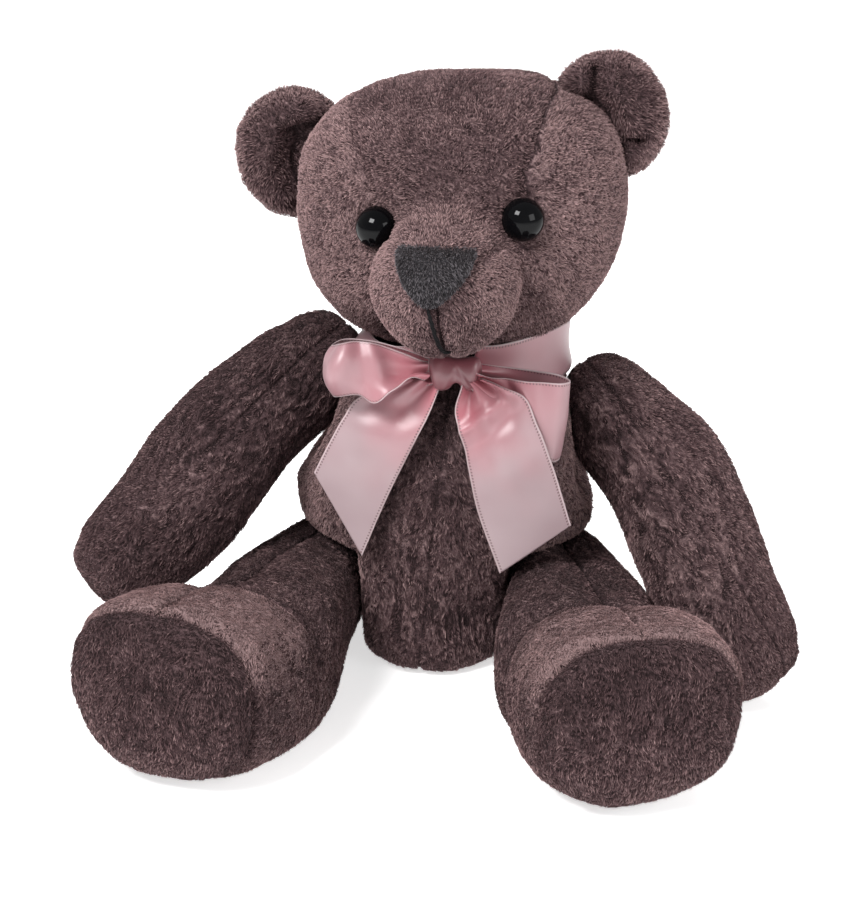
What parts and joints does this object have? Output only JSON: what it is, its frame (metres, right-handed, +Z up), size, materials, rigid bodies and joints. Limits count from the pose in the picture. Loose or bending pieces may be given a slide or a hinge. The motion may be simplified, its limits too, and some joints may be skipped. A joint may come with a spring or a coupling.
{
  "type": "jointed teddy bear",
  "caption": "Sitting plush bear with disc-jointed head, arms and legs, domed eyes, embroidered mouth and a satin ribbon bow at the neck.",
  "frame": {"origin": "middle of the flat face the bear sits on", "axes": "+Z up from the seat, the bear faces -Y, +X is its own left"},
  "size_m": [0.1984, 0.1585, 0.1655],
  "materials": {
    "plush": "short brushed pile",
    "filling": "loose fibre",
    "joint_plastic": "moulded",
    "eye_plastic": "polished",
    "nose_pile": "dense short pile",
    "thread": "stranded thread",
    "satin": "satin weave"
  },
  "bodies": {
    "arm_left": {"arm_left_inner_panel": "plush", "arm_left_outer_panel": "plush", "arm_left_stuffing": "filling", "shoulder_left_disc": "joint_plastic", "shoulder_left_lock": "joint_plastic"},
    "arm_right": {"arm_right_inner_panel": "plush", "arm_right_outer_panel": "plush", "arm_right_stuffing": "filling", "shoulder_right_disc": "joint_plastic", "shoulder_right_lock": "joint_plastic"},
    "body": {"body_back_left_panel": "plush", "body_back_right_panel": "plush", "body_front_left_panel": "plush", "body_front_right_panel": "plush", "body_stuffing": "filling", "hip_left_washer": "joint_plastic", "hip_right_washer": "joint_plastic", "neck_washer": "joint_plastic", "ribbon_knot": "satin", "ribbon_loop_left": "satin", "ribbon_loop_right": "satin", "ribbon_neck_band": "satin", "ribbon_tail_left": "satin", "ribbon_tail_right": "satin", "shoulder_left_washer": "joint_plastic", "shoulder_right_washer": "joint_plastic"},
    "head": {"ear_left_back": "plush", "ear_left_front": "plush", "ear_right_back": "plush", "ear_right_front": "plush", "eye_left": "eye_plastic", "eye_left_washer": "joint_plastic", "eye_right": "eye_plastic", "eye_right_washer": "joint_plastic", "head_gusset": "plush", "head_left_panel": "plush", "head_right_panel": "plush", "head_stuffing": "filling", "mouth_stitch": "thread", "neck_disc": "joint_plastic", "neck_lock": "joint_plastic", "nose": "nose_pile"},
    "leg_left": {"hip_left_disc": "joint_plastic", "hip_left_lock": "joint_plastic", "leg_left_inner_panel": "plush", "leg_left_outer_panel": "plush", "leg_left_sole": "plush", "leg_left_stuffing": "filling"},
    "leg_right": {"hip_right_disc": "joint_plastic", "hip_right_lock": "joint_plastic", "leg_right_inner_panel": "plush", "leg_right_outer_panel": "plush", "leg_right_sole": "plush", "leg_right_stuffing": "filling"}
  },
  "joints": [
    {"name": "neck", "type": "hinge", "parent": "body", "child": "head", "pos_m": [0.00865, -0.0025, 0.08663], "axis": [-0.0872, 0, 0.9962], "range_deg": [-40, 40]},
    {"name": "shoulder_left", "type": "hinge", "parent": "body", "child": "arm_left", "pos_m": [0.04562, -0.001, 0.06586], "axis": [0.9836, 0.172, 0.0537], "range_deg": [-90, 15]},
    {"name": "shoulder_right", "type": "hinge", "parent": "body", "child": "arm_right", "pos_m": [-0.03703, -0.001, 0.0758], "axis": [0.9659, 0, -0.2588], "range_deg": [-65, 8]},
    {"name": "hip_left", "type": "hinge", "parent": "body", "child": "leg_left", "pos_m": [0.0315, -0.002, 0.0156], "axis": [1, 0, 0], "range_deg": [0, 90]},
    {"name": "hip_right", "type": "hinge", "parent": "body", "child": "leg_right", "pos_m": [-0.0315, -0.002, 0.0156], "axis": [1, 0, 0], "range_deg": [0, 90]}
  ]
}
